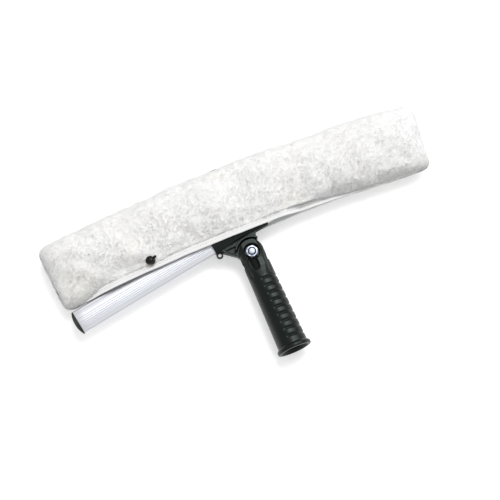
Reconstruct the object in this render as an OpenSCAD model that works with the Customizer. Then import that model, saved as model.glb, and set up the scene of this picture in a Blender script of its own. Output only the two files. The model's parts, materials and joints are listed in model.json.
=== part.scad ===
// Window scrubber: a swivelling T-bar with a plush sleeve and a pole handle, lying flat.
// The origin is on the socket axis, where the socket's straight wall starts. The pole leaves
// along -Y, the handle's front faces +Z, and the bar runs roughly along X.

/* [Handle] */
// Distance from the start of the socket's straight wall to the pivot
handle_reach = 118.5; // [108:0.5:150]
// Radius of the grip just above the rim
grip_r_low = 17.6; // [17:0.1:19]
// Radius of the grip where it meets the head
grip_r_high = 15.8; // [15.4:0.1:17]
// Outer radius of the rim round the mouth
rim_r = 20.2; // [19.5:0.1:22]
// Length of the rim along the handle
rim_len = 4.2; // [3:0.1:6]
// Radius of the straight socket bore
socket_r = 14; // [12:0.1:14.6]
// Length of the straight socket bore
socket_len = 76; // [50:1:80]
// Length of the flared lip in front of the straight bore
lip_len = 3.5; // [2:0.1:4]
// Radius of the flared lip at the mouth
lip_r = 16.4; // [15.6:0.1:17]

/* [Grip ribs] */
// Number of ribs on the finger side
rib_count = 10; // [5:1:10]
// Distance between two ribs
rib_pitch = 9.1; // [8.6:0.1:9.2]
// Distance from the straight bore's start to the first groove
groove_start = 11; // [9:0.1:12]
// Radius of the round groove between two ribs
groove_r = 1.8; // [1.5:0.1:2.2]
// Depth of a groove on the finger side
groove_depth = 1.5; // [0.8:0.1:1.7]
// Reach of the grooves round the grip; the palm side stays smooth
groove_arc = 200; // [150:5:240]
// Direction of the middle of the grooves, from +X towards the front
groove_turn = 10; // [-20:1:40]

/* [Head] */
// Radius of the rounded head
head_r = 15; // [14.6:0.1:15.4]
// Thickness of the head across its two flat faces
head_t = 26; // [24:0.1:28]
// Radius of the slot that the tongue turns in
slot_r = 20; // [19:0.1:22]
// Radius of the round recess for the nut
nut_recess_r = 9.2; // [8.6:0.1:10]
// Plastic left between the slot and the nut's seat
cheek_floor = 3.1; // [2.6:0.1:3.6]
// Shift of the pocket below the nut, towards the thumb side
pocket_shift = 3; // [2:0.1:4]
// Distance from the pivot to the upper end of the pocket's straight sides
pocket_top = 7; // [6:0.1:8]
// Distance from the pivot to the lower end of the pocket's straight sides
pocket_low = 17.5; // [16:0.1:18.5]
// Half width of the pocket
pocket_r = 4.5; // [4:0.1:5]
// Depth of the pocket below the flat of the head
pocket_depth = 5; // [3:0.1:5.4]
// Distance from the pivot to the small nick in the head's right side
nick_y = 12.5; // [11:0.1:14]
// Radius of the nick
nick_r = 2; // [1.5:0.1:2.2]
// Depth of the nick
nick_depth = 0.7; // [0.4:0.1:1]

/* [Pivot] */
// Radius of the bolt's shank
bolt_r = 4; // [3.5:0.1:4.2]
// Width of the nut and of the bolt's head across the flats
hex_af = 13; // [12:0.1:13.4]
// Height of the nut
nut_h = 5.6; // [4.5:0.1:6.5]
// Height of the bolt's head
bolt_head_h = 4.6; // [4:0.1:4.8]
// How far the bolt stands out of the nut
bolt_proud = 1.3; // [0.5:0.1:2]
// Outer radius of the bush
bush_r = 6; // [5.6:0.1:6.4]
// Outer radius of the friction washers
washer_r = 11; // [9:0.1:12]
// Thickness of a friction washer
washer_t = 0.8; // [0.5:0.1:1]
// Turn of the nut in its recess
nut_turn = -23.5; // [-30:0.5:30]
// Angle of the bar from square at rest
swivel_rest = 8.5; // [0:0.5:15]

/* [Bracket] */
// Thickness of the tongue
tongue_t = 9; // [8:0.1:10]
// Radius of the tongue round the pivot
tongue_r = 12.5; // [11.5:0.1:14]
// Length of the saddle along the bar
saddle_len = 70; // [60:1:90]
// Wall of the saddle
saddle_wall = 2.1; // [1.8:0.1:2.6]
// Height of the saddle's sides above the bar's lower edge
saddle_h = 21.5; // [18:0.5:24]
// Inner radius of the collar round the head
collar_r = 17.2; // [16.8:0.1:18]
// Wall of the collar
collar_wall = 2.4; // [1.8:0.1:3]
// Thickness of the collar across its two faces
collar_t = 22; // [18:0.5:24]
// Reach of the collar to each side of the middle
collar_half_angle = 52; // [35:1:54]
// Depth of the sunk panel on each side of the web
web_sink = 1.6; // [0.8:0.1:2]
// Width of the rim round the sunk panel
web_rim = 2.2; // [1.6:0.1:3]
// Outer radius of the hanging eye
eye_r = 4.1; // [3.8:0.1:5]
// Radius of the hanging eye's hole
eye_hole_r = 2.1; // [1.5:0.1:2.4]
// Thickness of the hanging eye
eye_t = 4; // [3:0.1:6]

/* [Bar] */
// Length of the extrusion
bar_len = 420; // [300:1:520]
// Width of the extrusion
bar_w = 29; // [27:0.1:31]
// Thickness of the extrusion in its middle
bar_t = 11; // [10.4:0.1:11.2]
// Radius of the extrusion's rounded edges
bar_edge_r = 3.5; // [3.1:0.1:3.9]
// Wall of the extrusion
bar_wall = 1.5; // [1.2:0.1:1.8]
// Distance from the pivot to the middle of the bar
bar_offset = 36; // [34.5:0.1:38]
// Number of fine grooves on each face
line_count = 5; // [3:1:6]
// Distance between two fine grooves
line_pitch = 2.5; // [2:0.1:2.8]
// Width of a fine groove
line_w = 0.7; // [0.4:0.1:1]
// Depth of a fine groove
line_depth = 0.4; // [0.2:0.1:0.6]
// Place of the first fine groove above the middle of the bar
line_start = 2.9; // [2:0.1:4]
// Straight thickness of an end cap at its edges
cap_edge = 1.2; // [0.8:0.1:2]
// Bulge of an end cap
cap_bulge = 3.6; // [2:0.1:5]
// Length of the plug that holds an end cap in the bar
cap_plug = 12; // [8:1:20]
// Radius of the rivets in the saddle
rivet_r = 2.4; // [2:0.1:2.6]
// Radius of the rivet heads
rivet_head_r = 4.4; // [4:0.1:5]
// Height of the rivet heads
rivet_head_h = 1.1; // [0.8:0.1:1.3]
// Distance between the two rivets
rivet_span = 44; // [36:1:50]

/* [Sleeve] */
// Room between each end of the bar and the sleeve's end
sleeve_room = 18; // [16:1:30]
// Reach of the plush above the sleeve's middle line
plush_up = 44; // [41:0.5:46]
// Reach of the plush below the sleeve's middle line
plush_down = 35; // [34:0.5:38]
// Height of the crown above the handle's axis
crown = 18.6; // [18:0.1:21]
// Thickness of the plush wall at its folds
plush_wall = 9; // [8:0.1:10]
// Play of the saddle in the open edge of the sleeve, above it and below it
mouth_play = 1; // [0.4:0.1:1.6]
// Play of the bar in the closed arm of the sleeve, above it and below it
pocket_play = 0.3; // [0.25:0.05:1]
// Bow of the sleeve along its length
sleeve_bow = 10; // [6:0.5:12]
// Shift of the sleeve's middle along the bar
sleeve_shift = 18; // [14:1:22]
// Gap between the bar's outer end and the open edge that it has left
arm_gap = 6.4; // [4:0.1:8]
// Play between the bar's inner end and the fold of the sleeve
tip_play = 8; // [5:0.1:9]
// Visible width of the hem tape
tape_w = 5.6; // [4:0.1:7]
// Thickness of the hem tape
tape_t = 2.2; // [1.6:0.1:2.6]

/* [Press stud] */
// Place of the press stud along the sleeve, from its middle
stud_s = -121; // [-130:1:-112]
// Distance from the press stud to the plush's open edge
stud_in = 7.2; // [6.8:0.1:8]
// Radius of the outer caps
stud_cap_r = 5.2; // [4.5:0.1:5.6]
// Height of the outer cap's dome
stud_cap_h = 3; // [2:0.1:4]
// Radius of the shank through the plush
stud_shank_r = 1.6; // [1.2:0.1:2]
// Radius of the inner socket and stud flanges
stud_inner_r = 4.4; // [4:0.1:5]
// Thickness of the inner flanges
stud_inner_t = 1.2; // [1:0.1:1.4]
// Radius of the male knob
knob_r = 1.9; // [1.6:0.1:2.2]
// Height of the male knob
knob_h = 1.6; // [1.2:0.1:1.8]

/* [Fits] */
// Radial clearance of the bolt in the bush
bolt_clear = 0.05; // [0.03:0.01:0.08]
// Radial clearance of the bolt in the cheeks
cheek_clear = 0.1; // [0.05:0.01:0.2]
// Radial clearance of the tongue on the bush
bush_clear = 0.06; // [0.03:0.01:0.09]
// Side clearance of each friction washer
washer_clear = 0.05; // [0.03:0.01:0.1]
// Clearance between the bar and the saddle
saddle_clear = 0.08; // [0.05:0.01:0.15]
// Clearance of the end caps' plugs in the bar
plug_clear = 0.08; // [0.05:0.01:0.15]
// Clearance of the rivets in their holes
rivet_clear = 0.05; // [0.03:0.01:0.1]
// Clearance of the bolt's head in its pocket
hex_clear = 0.15; // [0.1:0.01:0.3]
// Gap between stacked soft pieces
soft_clear = 0.1; // [0.05:0.01:0.2]

/* [Hidden] */
$fn = 96;
eps = 0.01;

// Colours of the real materials
black_plastic = [0.1, 0.1, 0.11];
bright_metal = [0.82, 0.83, 0.85];
nylon = [0.88, 0.87, 0.82];
plush_white = [0.95, 0.95, 0.94];
tape_white = [0.98, 0.98, 0.98];
dark_metal = [0.16, 0.14, 0.13];
brass_metal = [0.6, 0.48, 0.3];

// Handle and pivot stack
head_half = head_t / 2;
tongue_half = tongue_t / 2;
slot_half = tongue_half + washer_t + 2 * washer_clear;
nut_seat = slot_half + cheek_floor;
bolt_seat = head_half - bolt_head_h;
hex_corner_r = hex_af / sqrt(3);
shoulder = 8;
neck_run = 12;
ramp_start = 1;
ramp_len = 14;
rim_slope = 1.6;
neck_y = handle_reach - slot_r - neck_run;

// Radius of the grip at a distance along the handle
function grip_r_at(y) = grip_r_low + (grip_r_high - grip_r_low) * (y - rim_len) / (neck_y - rim_len);

// Half width of the head at a distance below the pivot
function side_x_at(y) = head_r + (grip_r_high - head_r) * (y - shoulder) / (slot_r - shoulder);

// Chamfers of the nut, the bolt's head and its tip
hex_bevel = 0.6;
nut_bevel_h = 0.6;
nut_bevel_r = 0.7;
tip_bevel = 0.8;

// Bar section: two flat arcs that meet the round edges
edge_x = bar_w / 2 - bar_edge_r;
face_drop = bar_t / 2 - bar_edge_r;
face_r = (edge_x * edge_x + face_drop * face_drop) / (2 * face_drop);
cap_len = cap_edge + cap_bulge;
bar_half = bar_len / 2 + cap_len;
cap_dome_r = (bar_w * bar_w / 4 + cap_bulge * cap_bulge) / (2 * cap_bulge);

// Saddle and web, in the bar's frame with the pivot at its origin
bar_low = bar_offset - bar_w / 2;
saddle_low = bar_low - saddle_clear - saddle_wall;
saddle_half = saddle_len / 2;
saddle_face = bar_t / 2 + saddle_clear + saddle_wall;
mouth_half = saddle_face + mouth_play;
pocket_half = bar_t / 2 + pocket_play;
eye_in = 2.6;
eye_up = 0.7;
eye_neck = 1.1;
web_ease = 0.8;
web_hip_out = 4;
web_hip_down = 0.5;
web_toe_out = 5;
web_in_elbow = [1, 0.4];
web_in_hip = [0, 1.4];
eye_pos = [-saddle_half + eye_in, saddle_low - eye_hole_r + eye_up];
web_elbow = eye_pos + [eye_r + eye_neck, -web_ease];
web_hip = [-tongue_r - web_hip_out, tongue_r / 2 - web_hip_down];
web_heel = [tongue_r + web_ease, tongue_r - web_ease];
web_toe = tongue_r + web_toe_out;
web_left = -23;
web_right = 30;

// Sleeve: its skew lets one arm of the bar into the closed half and the other past the open edge
floor_drop = rim_r;
floor_flat = 0.5;
sleeve_half = bar_half + sleeve_room;
cavity_up = plush_up - plush_wall;
cavity_down = plush_down - plush_wall;
tip_t = cavity_up - bar_w / 2 - tip_play;
arm_t = plush_down + tape_w + bar_w / 2 + arm_gap;
skew = atan((tip_t + arm_t) / (2 * bar_half));
bow_r = sleeve_half * sleeve_half / (2 * sleeve_bow);
tip_s = bar_half - sleeve_shift;
sleeve_w = bar_offset + (tip_s * sin(skew) - tip_t + tip_s * tip_s / (2 * bow_r)) / cos(skew);

// Stretch of the open edge along the sleeve, and the lengths over which it closes
slit_left = -sleeve_half + 14;
slit_right = 116;
slit_fade_left = 56;
slit_fade_right = 44;

// Heights of the press stud's seats, cut into the plush on both sides
stud_room = mouth_half;
stud_share = 0.72;
knob_play = 0.1;
post_disc_t = 1;
stud_top = crown * stud_share;
stud_bottom = floor_drop * stud_share;

// Rings of the sleeve and points on half a ring
ring_count = 30;
half_points = 9;
corner_len = 13;
corner_low = 9;
puff_len = 46;
end_half = 3.2;
cavity_end = 10;
cavity_fade = 16;
cavity_end_half = 0.8;
lip_share = 0.74;
end_power = 2.4;
side_power = 2.5;
room_power = 4;
spread_power = 0.85;
ring_even = 0.3;

// 0 below a, 1 above b, smooth between them
function ease(x, a, b) = let (t = max(0, min(1, (x - a) / (b - a)))) t * t * (3 - 2 * t);

// 1 along a stretch of half length h, falling as a round curve to 0 over the last n
function round_end(s, h, n, p) = let (d = max(0, (abs(s) - h + n) / n)) pow(max(0, 1 - pow(min(1, d), p)), 1 / p);

// How far the edge is open at a place along the sleeve: 0 is sewn shut, 1 is wide open
function open_at(s) = ease(s, slit_left, slit_left + slit_fade_left)
    * (1 - ease(s, slit_right - slit_fade_right, slit_right));

// Place in the bar's frame of a point s along the sleeve, t across it and z above the handle's axis
function on_sleeve(s, t, z) = let (
    a = s / bow_r * 180 / PI,
    x = (bow_r + t) * sin(a),
    y = (bow_r + t) * cos(a) - bow_r
) [
    sleeve_shift + x * cos(skew) + y * sin(skew),
    sleeve_w - x * sin(skew) + y * cos(skew),
    z
];

// Place along the sleeve of ring i, closer together near both ends
function ring_s(i, h) =
    let (q = 2 * i / (ring_count - 1) - 1)
        h * (ring_even * q + (1 - ring_even) * sin(90 * q));

// Half thickness of the plush at t across the sleeve; z runs to the front or the back
function plush_z(s, t, top) = let (
    puff = end_half + (top - end_half) * round_end(s, sleeve_half, puff_len, end_power),
    side = pow(max(0, 1 - pow(abs(t) / (t > 0 ? plush_up : plush_down), side_power)), 1 / side_power),
    keep = t > 0 ? 0 : lip_share * open_at(s) * ease(-t, 0, plush_down)
) puff * max(side, keep);

// Half of the room inside at t across the sleeve
function room_z(s, t) = let (
    o = open_at(s),
    top = pocket_half + (mouth_half - pocket_half) * o,
    full = cavity_end_half
        + (top - cavity_end_half) * round_end(s, sleeve_half - cavity_end, cavity_fade, end_power),
    share = min(1, abs(t) / (t > 0 ? cavity_up : cavity_down)),
    side = pow(max(0, 1 - pow(share, room_power)), 1 / room_power)
) full * (t > 0 ? side : side + (1 - side) * o);

// Narrowing of the sleeve at its rounded corners, wider at the fold than at the open edge
function corner(s, h, n) = n * (1 - round_end(s, h, n, 2));

// Ring of the outer skin: from the front lip over the top fold to the back lip
function outer_ring(s) = [
    for (j = [0 : 2 * half_points])
        let (
            c = -cos(180 * (j <= half_points ? j : 2 * half_points - j) / half_points),
            reach = c > 0
                ? plush_up - corner(s, sleeve_half, corner_len)
                : plush_down - corner(s, sleeve_half, corner_low),
            t = reach * sign(c) * pow(abs(c), spread_power),
            level = t * (c > 0 ? plush_up : plush_down) / reach,
            z = plush_z(s, level, j <= half_points ? crown : floor_drop + floor_flat)
        )
        on_sleeve(s, t, j <= half_points ? z : max(-floor_drop, -z))
];

// Ring of the lining, in the same order
function inner_ring(s) = [
    for (j = [0 : 2 * half_points])
        let (
            c = -cos(180 * (j <= half_points ? j : 2 * half_points - j) / half_points),
            h = sleeve_half - cavity_end,
            low = cavity_down + (plush_down - cavity_down) * open_at(s),
            reach = c > 0 ? cavity_up - corner(s, h, corner_len) : low - corner(s, h, corner_low),
            t = reach * sign(c) * pow(abs(c), spread_power),
            z = room_z(s, t)
        )
        on_sleeve(s, t, j <= half_points ? z : -z)
];

module in_bar_frame() {
    translate([0, handle_reach, 0])
        rotate(swivel_rest)
            children();
}

module bar_section(grow = 0) {
    r = face_r + grow;
    union() {
        intersection() {
            translate([0, bar_t / 2 - face_r])
                circle(r = r, $fn = 200);
            translate([0, face_r - bar_t / 2])
                circle(r = r, $fn = 200);
            square([2 * edge_x, bar_t + 2 * grow + 1], center = true);
        }
        for (side = [-1, 1])
            translate([side * edge_x, 0])
                circle(r = bar_edge_r + grow, $fn = 64);
    }
}

// Bar section standing across the bar: its width runs along the frame's Y axis
module along_bar(length, grow = 0) {
    translate([-length / 2, bar_offset, 0])
        rotate([90, 0, 90])
            linear_extrude(length)
                bar_section(grow);
}

module handle_grip() {
    color(black_plastic)
    difference() {
        union() {
            // Grip with its rim
            rotate([90, 0, 0])
                mirror([0, 0, 1])
                    rotate_extrude()
                        polygon([
                            [0, -lip_len], [rim_r, -lip_len], [rim_r, rim_len - lip_len],
                            [grip_r_low, rim_len - lip_len + rim_slope], [grip_r_high, neck_y], [0, neck_y]
                        ]);
            // Neck and head, flattened towards the pivot
            intersection() {
                translate([0, neck_y - eps, 0])
                    rotate([-90, 0, 0])
                        cylinder(r = grip_r_high, h = 2 * slot_r + head_r);
                translate([0, handle_reach, -grip_r_high - 1])
                    linear_extrude(2 * grip_r_high + 2)
                        union() {
                            circle(r = head_r);
                            translate([-head_r, -shoulder])
                                square([2 * head_r, shoulder]);
                            polygon([
                                [-head_r, -shoulder], [-grip_r_high, -slot_r], [-grip_r_high, -2 * slot_r],
                                [grip_r_high, -2 * slot_r], [grip_r_high, -slot_r], [head_r, -shoulder]
                            ]);
                        }
                rotate([90, 0, 90])
                    translate([0, 0, -grip_r_high - 1])
                        linear_extrude(2 * grip_r_high + 2)
                            polygon([
                                [neck_y - ramp_start, -grip_r_high], [neck_y - ramp_start, grip_r_high],
                                [neck_y + ramp_start, grip_r_high], [neck_y + ramp_len, head_half],
                                [handle_reach + head_r + 1, head_half], [handle_reach + head_r + 1, -head_half],
                                [neck_y + ramp_len, -head_half], [neck_y + ramp_start, -grip_r_high]
                            ]);
            }
        }
        // Pole socket and its flared lip
        rotate([-90, 0, 0])
            cylinder(r = socket_r, h = socket_len);
        translate([0, -lip_len - eps, 0])
            rotate([-90, 0, 0])
                cylinder(r1 = lip_r, r2 = socket_r, h = lip_len + 2 * eps);
        // Slot for the tongue
        translate([0, handle_reach, -slot_half])
            cylinder(r = slot_r, h = 2 * slot_half);
        // Hole for the bolt, recess for the nut, pocket for the bolt's head
        translate([0, handle_reach, -head_half - 1])
            cylinder(r = bolt_r + cheek_clear, h = head_t + 2);
        translate([0, handle_reach, nut_seat])
            cylinder(r = nut_recess_r, h = head_half);
        translate([0, handle_reach, -head_half - 1])
            cylinder(r = hex_corner_r + hex_clear, h = bolt_head_h + 1, $fn = 6);
        // Oblong pocket below the nut
        translate([-pocket_shift, handle_reach, head_half - pocket_depth])
            linear_extrude(head_half)
                union() {
                    translate([0, -pocket_top])
                        circle(r = pocket_r);
                    translate([-pocket_r, -pocket_low])
                        square([2 * pocket_r, pocket_low - pocket_top]);
                    translate([0, -pocket_low])
                        circle(r = pocket_r);
                }
        // Small nick in the head's right side
        translate([side_x_at(nick_y) - nick_depth + nick_r, handle_reach - nick_y, -grip_r_high - 1])
            cylinder(r = nick_r, h = 2 * grip_r_high + 2);
        // Grooves between the ribs, on the finger side only
        for (k = [0 : rib_count - 2])
            translate([0, groove_start + k * rib_pitch, 0])
                rotate([90, 0, 0])
                    rotate(groove_turn - groove_arc / 2)
                        rotate_extrude(angle = groove_arc)
                            translate([grip_r_at(groove_start + k * rib_pitch) - groove_depth + groove_r, 0])
                                circle(r = groove_r, $fn = 32);
    }
}

module hex_prism(h, chamfer_top, chamfer_bottom) {
    bevel = hex_corner_r - hex_af / 2;
    intersection() {
        cylinder(r = hex_corner_r, h = h, $fn = 6);
        rotate_extrude()
            polygon([
                [0, 0], [hex_corner_r - bevel * chamfer_bottom, 0],
                [hex_corner_r, bevel * chamfer_bottom * hex_bevel],
                [hex_corner_r, h - bevel * chamfer_top * hex_bevel],
                [hex_corner_r - bevel * chamfer_top, h], [0, h]
            ]);
    }
}

module pivot_bolt() {
    tip = nut_seat + nut_h + bolt_proud;
    color(bright_metal)
    translate([0, handle_reach, 0])
        union() {
            translate([0, 0, -head_half])
                hex_prism(bolt_head_h, 0, 1);
            translate([0, 0, -bolt_seat - eps])
                rotate_extrude()
                    polygon([
                        [0, 0], [bolt_r, 0], [bolt_r, tip + bolt_seat - tip_bevel],
                        [bolt_r - tip_bevel, tip + bolt_seat], [0, tip + bolt_seat]
                    ]);
        }
}

module pivot_nut() {
    color(bright_metal)
    translate([0, handle_reach, nut_seat])
        rotate(nut_turn)
            difference() {
                hex_prism(nut_h, 1, 0);
                translate([0, 0, -1])
                    cylinder(r = bolt_r + bolt_clear, h = nut_h + 2);
                translate([0, 0, nut_h - nut_bevel_h])
                    cylinder(r1 = bolt_r + bolt_clear, r2 = bolt_r + bolt_clear + nut_bevel_r, h = nut_bevel_r);
            }
}

module pivot_bush() {
    color(brass_metal)
    translate([0, handle_reach, -slot_half])
        difference() {
            cylinder(r = bush_r, h = 2 * slot_half);
            translate([0, 0, -1])
                cylinder(r = bolt_r + bolt_clear, h = 2 * slot_half + 2);
        }
}

module friction_washer(z) {
    color(nylon)
    translate([0, handle_reach, z])
        difference() {
            cylinder(r = washer_r, h = washer_t);
            translate([0, 0, -1])
                cylinder(r = bush_r + bush_clear, h = washer_t + 2);
        }
}

module friction_washer_front() {
    friction_washer(tongue_half + washer_clear);
}

module friction_washer_back() {
    friction_washer(-tongue_half - washer_clear - washer_t);
}

// Outline of the web between tongue and saddle, wider on the side of the hanging eye
module web_outline() {
    polygon([
        [eye_pos[0] + eye_r - eye_neck, saddle_low + saddle_wall / 2], web_elbow, web_hip,
        tongue_r * [-cos(web_left), sin(web_left)], [0, 0],
        tongue_r * [cos(web_right), sin(web_right)], web_heel, [web_toe, saddle_low + saddle_wall / 2]
    ]);
}

module pivot_bracket() {
    panel_top = saddle_low - web_rim;
    panel_side = -collar_r * cos(collar_half_angle);
    color(black_plastic)
    in_bar_frame()
        difference() {
            union() {
                // Tongue and web
                translate([0, 0, -tongue_half])
                    linear_extrude(tongue_t)
                        union() {
                            circle(r = tongue_r);
                            web_outline();
                        }
                // Collar round the head
                translate([0, 0, -collar_t / 2])
                    linear_extrude(collar_t)
                        intersection() {
                            difference() {
                                circle(r = collar_r + collar_wall);
                                circle(r = collar_r);
                            }
                            polygon([
                                [0, 0],
                                [-3 * collar_r * tan(collar_half_angle), 3 * collar_r],
                                [3 * collar_r * tan(collar_half_angle), 3 * collar_r]
                            ]);
                        }
                // Saddle round the bar
                intersection() {
                    along_bar(saddle_len, saddle_clear + saddle_wall);
                    translate([-saddle_half - 1, saddle_low - 1, -saddle_face - 1])
                        cube([saddle_len + 2, bar_low + saddle_h - saddle_low + 1, 2 * saddle_face + 2]);
                }
                // Hanging eye
                translate([eye_pos[0], eye_pos[1], -eye_t / 2])
                    cylinder(r = eye_r, h = eye_t);
            }
            // Room for the bar
            along_bar(saddle_len + 2, saddle_clear);
            // Bore for the bush
            translate([0, 0, -tongue_half - 1])
                cylinder(r = bush_r + bush_clear, h = tongue_t + 2);
            // Hole of the hanging eye
            translate([eye_pos[0], eye_pos[1], -eye_t])
                cylinder(r = eye_hole_r, h = 2 * eye_t);
            // Sunk panel on both faces of the web
            for (side = [-1, 1])
                translate([0, 0, side * tongue_half - web_sink])
                    linear_extrude(2 * web_sink)
                        polygon([
                            web_elbow + web_rim * web_in_elbow, web_hip + web_rim * web_in_hip,
                            [panel_side - collar_wall, panel_top - web_rim], [panel_side - collar_wall, panel_top]
                        ]);
            // Holes and sunk seats for the rivets
            for (x = [-rivet_span / 2, rivet_span / 2])
                translate([x, bar_offset, 0]) {
                    translate([0, 0, -saddle_face - 1])
                        cylinder(r = rivet_r + rivet_clear, h = 2 * saddle_face + 2);
                    for (side = [-1, 1])
                        translate([0, 0, side * saddle_face - rivet_head_h * (1 + side) / 2 - (1 - side) / 2])
                            cylinder(r = rivet_head_r + rivet_clear, h = rivet_head_h + 1);
                }
        }
}

module bar_profile() {
    color(bright_metal)
    in_bar_frame()
        difference() {
            along_bar(bar_len);
            along_bar(bar_len + 2, -bar_wall);
            // Fine grooves on both faces
            for (side = [-1, 1], k = [0 : line_count - 1]) {
                y = line_start - k * line_pitch;
                z = sqrt(face_r * face_r - y * y) - face_r + bar_t / 2;
                translate([0, bar_offset + y, side * z])
                    cube([bar_len + 2, line_w, 2 * line_depth], center = true);
            }
            // Holes for the rivets
            for (x = [-rivet_span / 2, rivet_span / 2])
                translate([x, bar_offset, -bar_t])
                    cylinder(r = rivet_r + rivet_clear, h = 2 * bar_t);
        }
}

// End cap for the right end; the left one is its mirror image
module end_cap(side) {
    color(black_plastic)
    in_bar_frame()
        mirror([side < 0 ? 1 : 0, 0, 0])
            union() {
                intersection() {
                    translate([bar_len / 2 + cap_len / 2 + 1, 0, 0])
                        along_bar(cap_len + 2);
                    translate([bar_len / 2 + cap_len - cap_dome_r, bar_offset, -bar_t])
                        cylinder(r = cap_dome_r, h = 2 * bar_t, $fn = 160);
                }
                difference() {
                    translate([bar_len / 2 - cap_plug / 2 + eps, 0, 0])
                        along_bar(cap_plug, -bar_wall - plug_clear);
                    translate([bar_len / 2 - cap_plug / 2 - 1, 0, 0])
                        along_bar(cap_plug, -2 * bar_wall);
                }
            }
}

module end_cap_left() {
    end_cap(-1);
}

module end_cap_right() {
    end_cap(1);
}

module bracket_rivets() {
    color(bright_metal)
    in_bar_frame()
        for (x = [-rivet_span / 2, rivet_span / 2])
            translate([x, bar_offset, 0])
                union() {
                    translate([0, 0, -saddle_face + eps])
                        cylinder(r = rivet_r, h = 2 * saddle_face - 2 * eps);
                    for (side = [-1, 1])
                        translate([0, 0, side * (saddle_face - rivet_head_h / 2) - rivet_head_h / 2])
                            cylinder(r = rivet_head_r, h = rivet_head_h);
                }
}

// Plush tube: an outer skin and a lining, joined by the two lips of the open edge
module sleeve_fleece() {
    m = 2 * half_points + 1;
    rows = [for (i = [0 : ring_count - 1]) ring_s(i, sleeve_half)];
    share = (sleeve_half - cavity_end) / sleeve_half;
    outer = [for (s = rows) each outer_ring(s)];
    inner = [for (s = rows) each inner_ring(s * share)];
    base = ring_count * m;
    open = [for (s = rows) open_at(s) > 0];
    // A shut ring uses its first point for both lips
    function o_at(i, j) = i * m + (j == m - 1 && !open[i] ? 0 : j);
    function i_at(i, j) = base + o_at(i, j);
    skin = [
        for (i = [0 : ring_count - 2], j = [0 : m - 2]) each [
            [o_at(i, j), o_at(i + 1, j + 1), o_at(i + 1, j)],
            [o_at(i, j), o_at(i, j + 1), o_at(i + 1, j + 1)],
            [i_at(i, j), i_at(i + 1, j), i_at(i + 1, j + 1)],
            [i_at(i, j), i_at(i + 1, j + 1), i_at(i, j + 1)]
        ]
    ];
    lips = [
        for (i = [0 : ring_count - 2])
            if (open[i] || open[i + 1]) each [
                [o_at(i, 0), i_at(i + 1, 0), i_at(i, 0)],
                [o_at(i, 0), o_at(i + 1, 0), i_at(i + 1, 0)],
                [o_at(i, m - 1), i_at(i, m - 1), i_at(i + 1, m - 1)],
                [o_at(i, m - 1), i_at(i + 1, m - 1), o_at(i + 1, m - 1)]
            ]
    ];
    last = ring_count - 1;
    ends = [
        for (j = [0 : half_points - 1]) each [
            [o_at(0, j), o_at(0, m - 2 - j), o_at(0, j + 1)],
            [o_at(0, j), o_at(0, m - 1 - j), o_at(0, m - 2 - j)],
            [o_at(last, j), o_at(last, j + 1), o_at(last, m - 2 - j)],
            [o_at(last, j), o_at(last, m - 2 - j), o_at(last, m - 1 - j)],
            [i_at(0, j), i_at(0, j + 1), i_at(0, m - 2 - j)],
            [i_at(0, j), i_at(0, m - 2 - j), i_at(0, m - 1 - j)],
            [i_at(last, j), i_at(last, m - 2 - j), i_at(last, j + 1)],
            [i_at(last, j), i_at(last, m - 1 - j), i_at(last, m - 2 - j)]
        ]
    ];
    faces = [for (f = concat(skin, lips, ends)) if (f[0] != f[1] && f[1] != f[2] && f[0] != f[2]) f];
    color(plush_white)
    difference() {
        in_bar_frame()
            polyhedron(points = concat(outer, inner), faces = faces, convexity = 8);
        // Seats and hole of the press stud
        at_stud() {
            translate([0, 0, stud_top - soft_clear])
                cylinder(r = stud_cap_r + soft_clear, h = crown);
            translate([0, 0, -stud_bottom + soft_clear - floor_drop])
                cylinder(r = stud_cap_r + soft_clear, h = floor_drop);
            translate([0, 0, -floor_drop - 1])
                cylinder(r = stud_shank_r + soft_clear, h = floor_drop + crown + 2);
        }
    }
}

// Tape along one edge of the opening: side is 1 for the front and -1 for the back
module hem_tape(side) {
    h = sleeve_half - corner_low - 2;
    rows = [for (i = [0 : ring_count - 1]) ring_s(i, h)];
    points = [
        for (s = rows) each let (
            z = side * (soft_clear + mouth_half * open_at(s)),
            t = -plush_down - soft_clear,
            w = tape_w - soft_clear
        ) [
            on_sleeve(s, t, z), on_sleeve(s, t - w, z),
            on_sleeve(s, t - w, z + side * tape_t), on_sleeve(s, t, z + side * tape_t)
        ]
    ];
    turn = side < 0;
    function quad(a, b, c, d) = turn ? [[a, b, c], [a, c, d]] : [[a, c, b], [a, d, c]];
    n = 4 * (ring_count - 1);
    faces = concat(
        quad(0, 1, 2, 3),
        quad(n + 3, n + 2, n + 1, n),
        [
            for (i = [0 : ring_count - 2], j = [0 : 3]) each
                quad(4 * i + j, 4 * i + 4 + j, 4 * i + 4 + (j + 1) % 4, 4 * i + (j + 1) % 4)
        ]
    );
    color(tape_white)
    in_bar_frame()
        polyhedron(points = points, faces = faces, convexity = 4);
}

module hem_tape_front() {
    hem_tape(1);
}

module hem_tape_back() {
    hem_tape(-1);
}

// Puts the press stud's parts at their place on the sleeve, in the bar's frame
module at_stud() {
    in_bar_frame()
        translate(on_sleeve(stud_s, -plush_down + stud_in, 0))
            children();
}

module snap_cap() {
    dome_r = (stud_cap_r * stud_cap_r + stud_cap_h * stud_cap_h) / (2 * stud_cap_h);
    color(dark_metal)
    at_stud()
        union() {
            translate([0, 0, stud_top])
                rotate_extrude()
                    intersection() {
                        translate([0, stud_cap_h - dome_r])
                            circle(r = dome_r, $fn = 128);
                        square([stud_cap_r, stud_cap_h + 1]);
                    }
            translate([0, 0, stud_room + stud_inner_t / 2])
                cylinder(r = stud_shank_r, h = stud_top - stud_room - stud_inner_t / 2 + eps);
        }
}

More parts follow.
